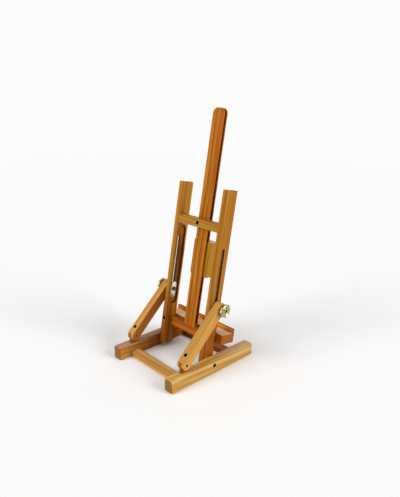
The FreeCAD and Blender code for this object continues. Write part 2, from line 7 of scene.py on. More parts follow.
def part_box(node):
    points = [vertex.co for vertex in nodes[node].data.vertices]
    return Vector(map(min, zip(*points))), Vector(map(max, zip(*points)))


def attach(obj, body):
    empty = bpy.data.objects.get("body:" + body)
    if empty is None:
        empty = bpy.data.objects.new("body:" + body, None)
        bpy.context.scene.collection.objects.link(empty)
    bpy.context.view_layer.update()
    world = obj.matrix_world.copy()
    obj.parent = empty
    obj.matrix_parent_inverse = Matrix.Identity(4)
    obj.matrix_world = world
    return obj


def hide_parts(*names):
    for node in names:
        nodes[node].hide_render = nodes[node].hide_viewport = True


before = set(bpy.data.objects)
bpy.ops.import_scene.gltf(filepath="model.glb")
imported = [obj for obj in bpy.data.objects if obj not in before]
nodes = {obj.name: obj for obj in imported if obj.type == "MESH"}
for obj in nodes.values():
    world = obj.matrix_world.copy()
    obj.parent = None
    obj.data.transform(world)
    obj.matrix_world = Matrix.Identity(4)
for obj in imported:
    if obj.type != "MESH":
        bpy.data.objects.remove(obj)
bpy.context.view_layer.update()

# ---------------------------------------------------------------- the easel's own axes, in metres
MM = 0.001
X_AXIS = Vector((1, 0, 0))
Y_AXIS = Vector((0, 1, 0))
Z_AXIS = Vector((0, 0, 1))
PIVOT = Vector((0, 2.0, 16.5)) * MM
LEAN = math.radians(9.25)                      # the frame leans forward
UP_FRAME = Vector((0, -math.sin(LEAN), math.cos(LEAN)))
TO_FRONT = Vector((0, -math.cos(LEAN), -math.sin(LEAN)))


def on_frame(x, t, s):
    """A point given in mm on the leaning frame: t towards the front, s up from the pivot."""
    return PIVOT + (X_AXIS * x + TO_FRONT * t + UP_FRAME * s) * MM


BOLT_S = 102.0
BOLT_T = 4.5
BOLT = on_frame(0, BOLT_T, BOLT_S)
HINGE = Vector((0, 64.2, 38.5)) * MM
STRUT_LEAN = math.radians(46.2)
STRUT_AXIS = Vector((0, -math.sin(STRUT_LEAN), math.cos(STRUT_LEAN)))
STRUT_REAR = Vector((0, math.cos(STRUT_LEAN), math.sin(STRUT_LEAN)))

# ---------------------------------------------------------------- node helpers


def put(tree, kind, inputs=(), **settings):
    """Add a node. A socket given as a value links it, and anything else sets it."""
    node = tree.nodes.new(kind)
    for key, value in settings.items():
        setattr(node, key, value)
    for key, value in dict(inputs).items():
        if isinstance(value, bpy.types.NodeSocket):
            tree.links.new(value, node.inputs[key])
        else:
            node.inputs[key].default_value = value
    return node


def math_node(tree, operation, a, b=0.0, clamp=False):
    return put(tree, "ShaderNodeMath", {0: a, 1: b}, operation=operation, use_clamp=clamp).outputs[0]


def vector_math(tree, operation, a, b=(0.0, 0.0, 0.0), output="Vector"):
    return put(tree, "ShaderNodeVectorMath", {0: a, 1: b}, operation=operation).outputs[output]


def scaled(tree, vector, factors):
    return vector_math(tree, "MULTIPLY", vector, factors)


def dotted(tree, vector, other):
    return vector_math(tree, "DOT_PRODUCT", vector, other, "Value")


def mapped(tree, value, start, end, low, high, interpolation="LINEAR"):
    """Carry start..end over to low..high, held still beyond both ends."""
    limits = {"Value": value, "From Min": start, "From Max": end, "To Min": low, "To Max": high}
    return put(tree, "ShaderNodeMapRange", limits, interpolation_type=interpolation).outputs[0]


def noise(tree, vector, scale, detail=2.0, roughness=0.5):
    return put(tree, "ShaderNodeTexNoise",
               {"Vector": vector, "Scale": scale, "Detail": detail, "Roughness": roughness}).outputs["Fac"]


def ramp(tree, factor, stops, interpolation="LINEAR"):
    """A colour ramp; stops are (position, grey level or RGB)."""
    node = put(tree, "ShaderNodeValToRGB", {"Fac": factor})
    node.color_ramp.interpolation = interpolation
    elements = node.color_ramp.elements
    while len(elements) < len(stops):
        elements.new(0.5)
    for element, (position, level) in zip(elements, stops):
        element.position = position
        colour = (level, level, level) if isinstance(level, (int, float)) else level
        element.color = (*colour, 1.0)
    return node.outputs["Color"]


def mix(tree, factor, a, b, blend="MIX"):
    node = put(tree, "ShaderNodeMix", data_type="RGBA", blend_type=blend)
    for socket, value in ((node.inputs[0], factor), (node.inputs[6], a), (node.inputs[7], b)):
        if isinstance(value, bpy.types.NodeSocket):
            tree.links.new(value, socket)
        elif isinstance(value, (int, float)):
            socket.default_value = value
        else:
            socket.default_value = (*value, 1.0)
    return node.outputs[2]


def new_material(name):
    material = bpy.data.materials.new(name)
    material.use_nodes = True
    tree = material.node_tree
    tree.nodes.clear()
    shader = put(tree, "ShaderNodeBsdfPrincipled")
    output = put(tree, "ShaderNodeOutputMaterial")
    tree.links.new(shader.outputs[0], output.inputs[0])
    return material, tree, shader


def edge_mask(tree, radius):
    """White along a piece's arrises, where lacquer and plating wear, and where the wood gets a painted
    highlight.
    """
    rounded = put(tree, "ShaderNodeBevel", {"Radius": radius}, samples=4).outputs[0]
    true_normal = put(tree, "ShaderNodeNewGeometry").outputs["Normal"]
    return ramp(tree, dotted(tree, rounded, true_normal), [(0.80, 1.0), (0.985, 0.0)])


def hollow_shade_mask(tree, distance, stops):
    """A ramp over how open a point is within its own piece, which places painted shade in hollows: 0 is deep
    in a hollow, and 1 is in the open.
    """
    openness = put(tree, "ShaderNodeAmbientOcclusion", {"Distance": distance}, samples=6, only_local=True)
    return ramp(tree, openness.outputs["AO"], stops)


def facing_mask(tree, normal, direction, amount=1.0):
    """The amount on faces that point a given way, and zero on the others."""
    return ramp(tree, dotted(tree, normal, direction.normalized()), [(0.60, 0.0), (0.90, amount)])


def add_bump(tree, shader, height, strength, distance):
    inputs = {"Strength": strength, "Distance": distance, "Height": height}
    tree.links.new(put(tree, "ShaderNodeBump", inputs).outputs[0], shader.inputs["Normal"])


# ---------------------------------------------------------------- wood


def near(tree, spot, point, inner, outer, amount):
    """The amount within the inner distance of a point, easing to nothing at the outer distance."""
    offset = vector_math(tree, "DISTANCE", spot, Vector(point), "Value")
    return mapped(tree, offset, inner, outer, amount, 0.0, "SMOOTHSTEP")


def between(tree, value, limits):
    """One between two limits, given in mm, and zero outside them."""
    low, high = limits
    above = math_node(tree, "GREATER_THAN", value, low * MM)
    return math_node(tree, "MULTIPLY", above, math_node(tree, "LESS_THAN", value, high * MM))


# How far an upright's slot reaches: out from the middle plane, to the front, and up from the pivot.
SLOT_X = (50.3, 60.7)
SLOT_T = (-6.5, 15.5)
SLOT_S = (71.5, 230.0)
# Painted shade inside an upright's slot: near black on its walls, and darker and redder on its recess's
# floor.
SLOT_WALL_SHADE = (0.100, 0.014, 0.001)
SLOT_FLOOR_SHADE = (0.30, 0.085, 0.008)


def shade_slot_inside(tree, spot, normal, colour):
    """Paint shade into an upright's slot: near black on its walls, and darker and redder on its recess's
    floor.
    """
    from_pivot = vector_math(tree, "SUBTRACT", spot, PIVOT)
    inside = between(tree, math_node(tree, "ABSOLUTE", dotted(tree, spot, X_AXIS)), SLOT_X)
    for direction, limits in ((TO_FRONT, SLOT_T), (UP_FRAME, SLOT_S)):
        reach = between(tree, dotted(tree, from_pivot, direction), limits)
        inside = math_node(tree, "MULTIPLY", inside, reach)
    flat = math_node(tree, "GREATER_THAN", math_node(tree, "ABSOLUTE", dotted(tree, normal, X_AXIS)), 0.6)
    floor = math_node(tree, "MULTIPLY", inside, flat)
    wall = math_node(tree, "SUBTRACT", inside, floor)
    colour = mix(tree, math_node(tree, "MULTIPLY", floor, 0.55), colour, SLOT_FLOOR_SHADE)
    return mix(tree, math_node(tree, "MULTIPLY", wall, 0.90), colour, SLOT_WALL_SHADE)


HOLE_WALL_REACH = 0.15 * MM     # past a hole's own radius
HOLE_BELOW_SEAT = 1.0 * MM


def inside_hole(tree, spot, seat, outward, radius):
    """One on the wall of a recessed hole, from just below its seat outwards, and zero elsewhere."""
    offset = vector_math(tree, "SUBTRACT", spot, seat)
    climb = dotted(tree, offset, outward)
    square = math_node(tree, "SUBTRACT", dotted(tree, offset, offset),
                       math_node(tree, "MULTIPLY", climb, climb))
    within = math_node(tree, "LESS_THAN", square, (radius + HOLE_WALL_REACH) ** 2)
    return math_node(tree, "MULTIPLY", within, math_node(tree, "GREATER_THAN", climb, -HOLE_BELOW_SEAT))


# The tones of the lacquered pine.
GOLDEN = {"early": (0.50, 0.185, 0.0050), "late": (0.20, 0.044, 0.0012), "flame": (0.46, 0.110, 0.0020)}
OLIVE = {"early": (0.44, 0.210, 0.0160), "late": (0.21, 0.062, 0.0030), "flame": (0.43, 0.130, 0.0050)}
STRAW = {"early": (0.56, 0.300, 0.0600), "late": (0.34, 0.150, 0.0200), "flame": (0.50, 0.190, 0.0150)}
TAN = {"early": (0.63, 0.340, 0.0760), "late": (0.37, 0.140, 0.0200), "flame": (0.47, 0.165, 0.0220)}
RUSSET = {"early": (0.36, 0.105, 0.0090), "late": (0.15, 0.030, 0.0020), "flame": (0.29, 0.060, 0.0030)}
# Tints of ends, knots and wear, of painted shade in hollows, and of single faces as painted light, shade and
# sheen.
SAPWOOD = (0.74, 0.53, 0.26)
# Pale wear on the arrises, which also serves as a painted highlight.
WORN_AND_HIGHLIGHT = (0.76, 0.50, 0.22)
# Painted shade deep in a piece's hollows, and on the walls of its screw holes.
HOLLOW_SHADE = (0.022, 0.006, 0.001)
HOLE_SHADE = (0.010, 0.003, 0.001)
END_GRAIN = (0.120, 0.048, 0.010)
DRY_END = (0.26, 0.125, 0.022)
# A pale end, which paints a highlight on the clamp block's top.
PALE_END_HIGHLIGHT = (0.85, 0.55, 0.34)
# A deep red, used as painted shade on single faces and in the foot, and a foot red that is partly the wood's
# own tone and partly painted shade.
DEEP_RED = (0.150, 0.030, 0.004)
FOOT_RED_AND_SHADE = (0.400, 0.112, 0.006)
# Face tints, which paint light, shade and sheen by the way a face points; the red-brown also colours the
# tray's cut ends.
MAHOGANY_SHADE = (0.20, 0.042, 0.003)
RED_BROWN = (0.32, 0.066, 0.0060)
BURNT_ORANGE = (0.50, 0.135, 0.006)
ORANGE = (0.82, 0.300, 0.0250)
BRIGHT_OLIVE = (0.62, 0.30, 0.025)
TAWNY = (0.56, 0.26, 0.020)
OCHRE = (0.47, 0.26, 0.042)
TOFFEE = (0.56, 0.26, 0.045)
BISCUIT = (0.50, 0.255, 0.055)
CARAMEL = (0.56, 0.27, 0.06)
AMBER = (0.70, 0.39, 0.09)
DUSTY_PINK_SHEEN = (0.54, 0.33, 0.19)
ROSY_SHEEN = (0.70, 0.46, 0.30)
PALE_PINK_SHEEN = (0.92, 0.620, 0.3600)
SHEEN = (1.0, 0.80, 0.45)


def late_wood(tree, spot, along, seed, ring, wave, knots):
    """The dark end of each year's growth, on rings bent by slow waves along the grain and round the knots."""
    slow = noise(tree, scaled(tree, along, (1, 1, 0.16)), 17.0, 1.5)
    ripple = noise(tree, scaled(tree, along, (1, 1, 0.10)), 75.0, 1.0)
    across = vector_math(tree, "LENGTH", scaled(tree, along, (1, 1, 0)), output="Value")
    radius = math_node(tree, "ADD", across, math_node(tree, "MULTIPLY", slow, wave))
    radius = math_node(tree, "ADD", radius, math_node(tree, "MULTIPLY", ripple, 0.0022))
    for point, size in knots:
        swell = near(tree, spot, point, size * 0.5, size * 3.2, size * 0.9)
        radius = math_node(tree, "ADD", radius, swell)
    years = math_node(tree, "MULTIPLY", radius, 1000.0 / ring)
    uneven = put(tree, "ShaderNodeTexNoise", {"W": math_node(tree, "MULTIPLY", radius, 95.0), "Scale": 1.0,
                                              "Detail": 1.0}, noise_dimensions="1D").outputs["Fac"]
    years = math_node(tree, "ADD", years, math_node(tree, "MULTIPLY", uneven, 2.4))
    band = math_node(tree, "FRACT", years)
    late = ramp(tree, band, [(0.0, 0.15), (0.10, 0.0), (0.40, 0.12), (0.72, 0.75), (0.90, 1.0), (1.0, 0.15)])
    # The late wood is stronger in some years than in others.
    year_place = put(tree, "ShaderNodeCombineXYZ", {"X": math_node(tree, "FLOOR", years), "Y": float(seed)})
    year_tone = noise(tree, year_place.outputs[0], 0.73, 0.0)
    return math_node(tree, "MULTIPLY", late, math_node(tree, "ADD", year_tone, 0.40, True))


def redden_and_shade_foot(tree, spot, broad, late, colour):
    """Redden and darken an upright towards its foot, partly as the wood's own tone and partly as painted
    shade, with a ragged upper limit.
    """
    climb = dotted(tree, vector_math(tree, "SUBTRACT", spot, PIVOT), UP_FRAME)
    wander = math_node(tree, "ADD", climb, math_node(tree, "MULTIPLY", broad, 0.06))
    foot = mapped(tree, wander, 0.075, 0.150, 0.92, 0.0)
    return mix(tree, foot, colour, mix(tree, late, FOOT_RED_AND_SHADE, DEEP_RED))


def lacquer(tree, shader, spot, fibre, late, cut_end):
    """Satin lacquer with smudges, over a relief that follows the fibres and fades on cut ends."""
    smudge = noise(tree, spot, 35.0, 3.0)
    gloss = math_node(tree, "ADD", math_node(tree, "MULTIPLY", smudge, 0.22),
                      math_node(tree, "MULTIPLY", fibre, 0.14))
    tree.links.new(math_node(tree, "ADD", gloss, 0.24), shader.inputs["Roughness"])
    relief = math_node(tree, "ADD", math_node(tree, "MULTIPLY", fibre, 0.5),
                       math_node(tree, "MULTIPLY", late, 0.5))
    along_grain = math_node(tree, "SUBTRACT", 1.0, math_node(tree, "MULTIPLY", cut_end, 0.85))
    add_bump(tree, shader, math_node(tree, "MULTIPLY", relief, along_grain), 0.35, 0.12 * MM)
    shader.inputs["Specular IOR Level"].default_value = 0.16
    shader.inputs["Specular Tint"].default_value = (*SHEEN, 1.0)
    shader.inputs["Coat Weight"].default_value = 0.02
    shader.inputs["Coat Roughness"].default_value = 0.16


def wood(name, node, grain, tone, seed, pith, ring, wave=0.016, sap=0.0, streak=0.55, contrast=0.85,
         wear=0.42, knots=(), face_light_and_shade=(), painted_light_fade=None, holes=(), end=END_GRAIN, hollow=HOLLOW_SHADE,
         red_and_shaded_foot=False, shaded_slot=False):
    """Lacquered pine, cut from a log: rings about a pith beside the piece, and fibres along its grain.

    pith (mm, across the grain) is where the log's middle lies, and ring (mm) is a year's growth.
    wave is how far the rings wander, and sap, streak and contrast are how strong those are.
    wear is how bare the arrises are and how strong their painted highlight is. knots are places and sizes.
    sides are directions, the tints of the faces that point that way, and how strong they are; these tints
    paint light, shade and sheen.
    faded is a direction, a tint, where along Y that tint starts and is full, and how strong it is; it paints
    light that grows along the piece.
    holes are recessed screw holes, whose walls get painted shade. end and hollow are the colours of the cut
    ends and of the painted shade deep in the grooves.
    red_and_shaded_foot reddens and darkens an upright towards its foot, partly as the wood's own tone and
    partly as painted shade, and slotted paints shade inside its slot.
    """
    material, tree, shader = new_material(name)
    low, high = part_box(node)
    centre = (Vector(low) + Vector(high)) / 2
    turn = grain.normalized().rotation_difference(Z_AXIS)
    place = turn.to_matrix() @ -centre + Vector((pith[0] * MM, pith[1] * MM, 0.37 * seed))
    coords = put(tree, "ShaderNodeTexCoord")
    spot = coords.outputs["Object"]
    normal = coords.outputs["Normal"]
    along = put(tree, "ShaderNodeMapping", {"Vector": spot, "Rotation": turn.to_euler(),
                                            "Location": place}).outputs[0]
    late = late_wood(tree, spot, along, seed, ring, wave, knots)
    fibre = noise(tree, scaled(tree, along, (1, 1, 0.012)), 1500.0, 3.0, 0.62)
    pore = noise(tree, scaled(tree, along, (1, 1, 0.05)), 2300.0, 1.0)
    broad = noise(tree, scaled(tree, along, (1, 1, 0.07)), 80.0, 2.0)
    fine = noise(tree, scaled(tree, along, (1, 1, 0.025)), 300.0, 2.0)
    colour = mix(tree, math_node(tree, "MULTIPLY", late, contrast, True), tone["early"], tone["late"])
    colour = mix(tree, ramp(tree, broad, [(0.44, 0.0), (0.60, streak)]), colour, tone["flame"])
    if sap:
        pale = noise(tree, scaled(tree, along, (1, 1, 0.05)), 85.0, 1.0)
        colour = mix(tree, ramp(tree, pale, [(0.50, 0.0), (0.60, sap)]), colour, SAPWOOD)
    # Tints by the way a face points: painted light, shade and sheen.
    for direction, tint, amount in face_light_and_shade:
        tinted = mix(tree, math_node(tree, "MULTIPLY", late, 0.45), tint, tone["late"])
        colour = mix(tree, facing_mask(tree, normal, direction, amount), colour, tinted)
    # Painted light that grows along Y on faces that point one way: sheen on a rail's top, light on a rail's
    # inner side.
    if painted_light_fade:
        direction, tint, start_y, full_y, amount = painted_light_fade
        reached = mapped(tree, dotted(tree, spot, Y_AXIS), start_y, full_y, 0.0, amount)
        covered = math_node(tree, "MULTIPLY", reached, facing_mask(tree, normal, direction))
        tinted = mix(tree, math_node(tree, "MULTIPLY", late, 0.35), tint, tone["late"])
        colour = mix(tree, covered, colour, tinted)
    # Redder and darker towards an upright's foot: partly the wood's own tone, partly painted shade.
    if red_and_shaded_foot:
        colour = redden_and_shade_foot(tree, spot, broad, late, colour)
    colour = mix(tree, ramp(tree, fine, [(0.50, 0.0), (0.66, 0.50)]), colour, tone["late"])
    for point, size in knots:
        ring_of = near(tree, spot, point, size * 0.75, size * 1.35, 0.55)
        colour = mix(tree, ring_of, colour, SAPWOOD)
        colour = mix(tree, near(tree, spot, point, size * 0.45, size * 0.75, 0.6), colour, tone["flame"])
    colour = mix(tree, 1.0, colour, ramp(tree, fibre, [(0.30, 0.80), (0.70, 1.12)]), "MULTIPLY")
    colour = mix(tree, ramp(tree, pore, [(0.68, 0.0), (0.76, 0.45)]), colour, tone["late"])
    # Cut ends drink the lacquer and take a colour of their own.
    towards_end = math_node(tree, "ABSOLUTE", dotted(tree, normal, grain.normalized()))
    cut_end = ramp(tree, towards_end, [(0.72, 0.0), (0.92, 1.0)])
    colour = mix(tree, math_node(tree, "MULTIPLY", cut_end, 0.8), colour,
                 mix(tree, math_node(tree, "MULTIPLY", late, 0.7), end, tone["late"]))
    # Painted shade: grooves and recesses darken towards black where they lie deep.
    colour = mix(tree, hollow_shade_mask(tree, 9.0 * MM, [(0.12, 0.95), (0.62, 0.0)]), colour, hollow)
    # Painted shade inside an upright's slot.
    if shaded_slot:
        colour = shade_slot_inside(tree, spot, normal, colour)
    # Painted shade on the walls of the screw holes.
    for seat, outward, hole_radius in holes:
        colour = mix(tree, inside_hole(tree, spot, seat, outward, hole_radius), colour, HOLE_SHADE)
    # Pale arrises: wear, and on the struts a painted highlight as well.
    scuff_and_highlight = ramp(tree, noise(tree, spot, 60.0, 3.0), [(0.38, 0.12 * wear), (0.60, wear)])
    colour = mix(tree, math_node(tree, "MULTIPLY", edge_mask(tree, 0.9 * MM), scuff_and_highlight), colour, WORN_AND_HIGHLIGHT)
    tree.links.new(colour, shader.inputs["Base Color"])
    lacquer(tree, shader, spot, fibre, late, cut_end)
    return material


def finish_with(node, material):
    """Give a CAD node this material in place of its own."""
    mesh = nodes[node].data
    if mesh.materials:
        for index in range(len(mesh.materials)):
            mesh.materials[index] = material
    else:
        mesh.materials.append(material)


KNOT_AT = (-84.0 * MM, 14.5 * MM, 21.5 * MM)
KNOT_SIZE = 2.2 * MM
RAIL_GRAIN = Vector((0, 1, 0.05))       # the log's grain runs a little out of the rails

# Recessed screw holes: where each screw's seat lies, in mm.
RECESS_RADIUS = 3.3
PIVOT_RECESS_RADIUS = 3.6
PIVOT_SEAT_X = 76.0
UPRIGHT_CENTRE_X = 55.5
TRAY_SCREW_S = 43.3
MAST_SCREW_S = 242.5
STRUT_CENTRE_X = 71.0
STRUT_SCREW_AT = 13.4                   # from the hinge pin along the strut
STRUT_SCREW_SEAT = 1.25                 # from the strut's centre line to the rear
STRUT_SCREW = HINGE + (STRUT_AXIS * STRUT_SCREW_AT + STRUT_REAR * STRUT_SCREW_SEAT) * MM


def screw_hole(seat, outward, radius=RECESS_RADIUS):
    return {"holes": ((seat, outward, radius * MM),)}


LEFT_PIVOT = screw_hole(PIVOT - X_AXIS * PIVOT_SEAT_X * MM, -X_AXIS, PIVOT_RECESS_RADIUS)
RIGHT_PIVOT = screw_hole(PIVOT + X_AXIS * PIVOT_SEAT_X * MM, X_AXIS, PIVOT_RECESS_RADIUS)
LEFT_TRAY_SCREW = screw_hole(on_frame(-UPRIGHT_CENTRE_X, 0, TRAY_SCREW_S), -TO_FRONT)
RIGHT_TRAY_SCREW = screw_hole(on_frame(UPRIGHT_CENTRE_X, 0, TRAY_SCREW_S), -TO_FRONT)
MAST_SCREW = screw_hole(on_frame(0, 0, MAST_SCREW_S), -TO_FRONT)
LEFT_STRUT_SCREW = screw_hole(STRUT_SCREW - X_AXIS * STRUT_CENTRE_X * MM, STRUT_REAR)
RIGHT_STRUT_SCREW = screw_hole(STRUT_SCREW + X_AXIS * STRUT_CENTRE_X * MM, STRUT_REAR)

# The face tints in this table paint light, shade and sheen: pink and pale tints on tops are painted sheen,
# lighter tints on single faces painted light, and darker ones painted shade.
WOODEN = [
    # node, grain, tone, seed, pith, ring, other looks
    ("left_rail", RAIL_GRAIN, STRAW, 1.3, (24, -20), 4.6,
     {"sap": 0.80, "wave": 0.030, "streak": 0.40, "knots": ((KNOT_AT, KNOT_SIZE),),
      "painted_light_fade": (Z_AXIS, ROSY_SHEEN, -0.010, -0.060, 0.85),
      "face_light_and_shade": ((Z_AXIS, AMBER, 0.60), (-X_AXIS, OCHRE, 0.45)), **LEFT_PIVOT}),
    ("right_rail", RAIL_GRAIN, RUSSET, 2.9, (26, 24), 4.4,
     {"wave": 0.026, "face_light_and_shade": ((Z_AXIS, DUSTY_PINK_SHEEN, 0.85), (X_AXIS, CARAMEL, 0.85)),
      "painted_light_fade": (-X_AXIS, TOFFEE, 0.030, 0.092, 0.95), "end": DRY_END, **RIGHT_PIVOT}),
    ("rear_cross_rail", X_AXIS, TAN, 4.1, (18, 34), 4.0, {"sap": 0.40, "streak": 0.6}),
    ("front_cross_rail", X_AXIS, RUSSET, 5.7, (-16, 30), 4.0, {"face_light_and_shade": ((Y_AXIS, DEEP_RED, 0.9),)}),
    ("left_upright", UP_FRAME, OLIVE, 6.2, (30, 24), 5.0,
     {"red_and_shaded_foot": True, "shaded_slot": True, "streak": 0.75, **LEFT_TRAY_SCREW}),
    ("right_upright", UP_FRAME, OLIVE, 7.9, (-28, 26), 5.0,
     {"red_and_shaded_foot": True, "shaded_slot": True, "streak": 0.65, "face_light_and_shade": ((-X_AXIS, BRIGHT_OLIVE, 0.55),),
      **RIGHT_TRAY_SCREW}),
    ("upper_crossbar", X_AXIS, OLIVE, 8.4, (24, -28), 3.8, {"sap": 0.15, **MAST_SCREW}),
    ("lower_crossbar", X_AXIS, RUSSET, 9.6, (22, 30), 4.0, {"face_light_and_shade": ((-TO_FRONT, BURNT_ORANGE, 0.75),)}),
    # The mast's side groove gets the slot walls' painted shade.
    ("mast", UP_FRAME, GOLDEN, 10.5, (16, 30), 5.2, {"streak": 0.6, "contrast": 1.0, "hollow": SLOT_WALL_SHADE}),
    ("tray_shelf", X_AXIS, OLIVE, 11.8, (30, 34), 4.2,
     {"face_light_and_shade": ((UP_FRAME, PALE_PINK_SHEEN, 0.85), (-TO_FRONT, RED_BROWN, 0.85)), "end": RED_BROWN}),
    ("tray_lip", X_AXIS, RUSSET, 12.1, (26, 22), 3.4,
     {"face_light_and_shade": ((-TO_FRONT, ORANGE, 0.9),), "end": RED_BROWN}),
    # The clamp block's pale end is a painted highlight on its top.
    ("clamp_block", UP_FRAME, OLIVE, 13.6, (34, 30), 4.0,
     {"face_light_and_shade": ((-X_AXIS, TAWNY, 0.6),), "end": PALE_END_HIGHLIGHT}),
    # The struts' stronger wear paints a highlight along their arrises.
    ("left_strut", STRUT_AXIS, TAN, 14.2, (36, 30), 4.2,
     {"streak": 0.35, "contrast": 0.6, "wear": 1.0, "face_light_and_shade": ((STRUT_REAR, BISCUIT, 0.75),),
      **LEFT_STRUT_SCREW}),
    ("right_strut", STRUT_AXIS, TAN, 15.9, (-34, 30), 4.2,
     {"streak": 0.35, "contrast": 0.6, "wear": 0.8, "face_light_and_shade": ((-X_AXIS, MAHOGANY_SHADE, 0.80),),
      **RIGHT_STRUT_SCREW}),
    ("left_hinge_tongue", Z_AXIS, RUSSET, 16.4, (24, 20), 2.6, {}),
    ("right_hinge_tongue", Z_AXIS, RUSSET, 17.7, (20, 26), 2.6, {}),
    ("rail_dowels", X_AXIS, TAN, 18.3, (12, 14), 2.0, {}),
    ("crossbar_dowels", X_AXIS, TAN, 19.9, (10, 16), 2.0, {}),
]
for node, grain, tone, seed, pith, ring, looks in WOODEN:
    finish_with(node, wood("pine_" + node, node, grain, tone, seed, pith, ring, **looks))

# ---------------------------------------------------------------- metal
# Painted shade for the hollows of the metal parts.
METAL_HOLLOW_SHADE = (0.020, 0.014, 0.007)


def metal(name, colour, tarnish, roughness, spread, scratch=0.5, brushed=(1, 1, 1)):
    """Plated or polished metal: uneven gloss, faint tarnish, painted shade in the hollows and fine scratches.
    """
    material, tree, shader = new_material(name)
    coords = put(tree, "ShaderNodeTexCoord").outputs["Object"]
    cloud = noise(tree, coords, 260.0, 3.0)
    grime = noise(tree, coords, 900.0, 4.0, 0.6)
    lines = noise(tree, scaled(tree, coords, brushed), 4200.0, 2.0)
    mask = ramp(tree, math_node(tree, "MULTIPLY", math_node(tree, "ADD", cloud, grime), 0.5),
                [(0.48, 0.0), (0.66, 0.6)])
    base = mix(tree, mask, colour, tarnish)
    base = mix(tree, hollow_shade_mask(tree, 5.0 * MM, [(0.30, 0.92), (0.72, 0.0)]), base, METAL_HOLLOW_SHADE)
    worn = math_node(tree, "MULTIPLY", edge_mask(tree, 0.25 * MM), 0.5)
    lighter = tuple(min(1.0, channel * 1.15 + 0.03) for channel in colour)
    tree.links.new(mix(tree, worn, base, lighter), shader.inputs["Base Color"])
    gloss = math_node(tree, "ADD", math_node(tree, "MULTIPLY", cloud, spread),
                      math_node(tree, "MULTIPLY", mask, spread))
    tree.links.new(math_node(tree, "ADD", gloss, roughness), shader.inputs["Roughness"])
    add_bump(tree, shader, lines, scratch, 0.012 * MM)
    shader.inputs["Metallic"].default_value = 1.0
    return material


ALONG_Z = (1, 1, 0.05)          # stretches the scratches
BRASS = metal("polished_brass", (0.50, 0.44, 0.23), (0.20, 0.18, 0.08), 0.05, 0.14, 0.35)
PLATED = metal("bright_plated_steel", (0.82, 0.77, 0.73), (0.55, 0.48, 0.43), 0.16, 0.22, 0.5, ALONG_Z)
WARM_NICKEL = metal("warm_nickel", (0.80, 0.70, 0.60), (0.50, 0.42, 0.28), 0.10, 0.20, 0.5, ALONG_Z)
BRONZED = metal("bronzed_steel", (0.15, 0.10, 0.07), (0.04, 0.03, 0.02), 0.14, 0.20, 0.5)
DARK_STEEL = metal("blackened_steel", (0.030, 0.022, 0.018), (0.012, 0.008, 0.006), 0.40, 0.25, 0.6)

# ---------------------------------------------------------------- mesh helpers
SHARP_ANGLE = math.radians(38)


def aim(direction, upward=None):
    """The turn that points +Z along direction, and +Y along upward where that's given."""
    if upward is None:
        return Z_AXIS.rotation_difference(direction).to_matrix()
    return Matrix((upward.cross(direction), upward, direction)).transposed()


def piece(name, mesh_data, material, origin, turn, body, slot, *replaced):
    """Build a piece, turn it and place it, and put it on its body in place of its CAD nodes."""
    vertices, faces = mesh_data
    mesh = bpy.data.meshes.new(name)
    mesh.from_pydata([tuple(v) for v in vertices], [], faces)
    matrix = Matrix.Translation(origin) @ turn.to_4x4()
    mesh.transform(matrix)
    work = bmesh.new()
    work.from_mesh(mesh)
    bmesh.ops.remove_doubles(work, verts=work.verts, dist=1e-7)
    bmesh.ops.recalc_face_normals(work, faces=work.faces)
    work.to_mesh(mesh)
    work.free()
    mesh.materials.append(material)
    mesh.polygons.foreach_set("use_smooth", [True] * len(mesh.polygons))
    mesh.set_sharp_from_angle(angle=SHARP_ANGLE)
    made = bpy.data.objects.new(name, mesh)
    bpy.context.scene.collection.objects.link(made)
    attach(made, body)
    if replaced:
        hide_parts(*replaced)
    return made


def lathe(profile, segments=64, reach=None):
    """Turn a profile of (radius, z) in mm about +Z. reach(angle, radius, z) may reshape each ring."""
    vertices = []
    faces = []
    for radius, z in profile:
        for step in range(segments):
            angle = 2 * math.pi * step / segments
            r = reach(angle, radius, z) if reach else radius
            vertices.append(Vector((math.cos(angle) * r, math.sin(angle) * r, z)) * MM)
    rings = len(profile)
    for ring in range(rings - 1):
        for step in range(segments):
            after = (step + 1) % segments
            faces.append((ring * segments + step, ring * segments + after,
                          (ring + 1) * segments + after, (ring + 1) * segments + step))
    if profile[0] != profile[-1]:
        faces.append(tuple(reversed(range(segments))))
        faces.append(tuple(range((rings - 1) * segments, rings * segments)))
    return vertices, faces


def ring_profile(inner, outer, z0, z1, round_off):
    """A washer's section, closed, with its corners rounded."""
    points = []
    corners = ((outer, z1, 0), (inner, z1, 90), (inner, z0, 180), (outer, z0, 270))
    for x, z, start in corners:
        centre_x = x - round_off if x == outer else x + round_off
        centre_z = z - round_off if z == z1 else z + round_off
        for step in range(4):
            angle = math.radians(start + step * 30)
            points.append((centre_x + round_off * math.cos(angle), centre_z + round_off * math.sin(angle)))
    return points + [points[0]]


KNOB_LOBES = 8
SCALLOP_FROM = 6.5              # the radius within which the knob is plain and round
SCALLOP_RUN = 4.5               # and how far beyond it the scallops take to reach their depth
SCALLOP_DEPTH = 1.05
# The knob's section as (radius, z): its hub and rim, then the dish in its face and the boss about its bore.
KNOB_RIM = [(2.6, 0.0), (6.4, 0.0), (6.8, 0.15), (7.0, 0.5), (7.05, 1.1), (7.4, 1.5), (8.2, 1.6), (9.6, 1.65),
            (10.8, 1.85), (11.6, 2.3), (12.2, 3.0), (12.45, 3.8), (12.5, 4.4), (12.35, 5.2), (11.9, 6.0),
            (11.2, 6.65), (10.4, 6.95), (9.7, 6.9)]
KNOB_FACE = [(9.0, 6.6), (8.2, 6.1), (7.3, 5.75), (6.5, 5.8), (5.9, 6.2), (5.5, 6.8), (5.1, 7.25),
             (4.6, 7.40), (4.1, 7.45), (3.6, 7.30), (3.2, 6.9), (2.9, 6.2), (2.7, 5.5), (2.6, 4.6),
             (2.6, 3.0)]


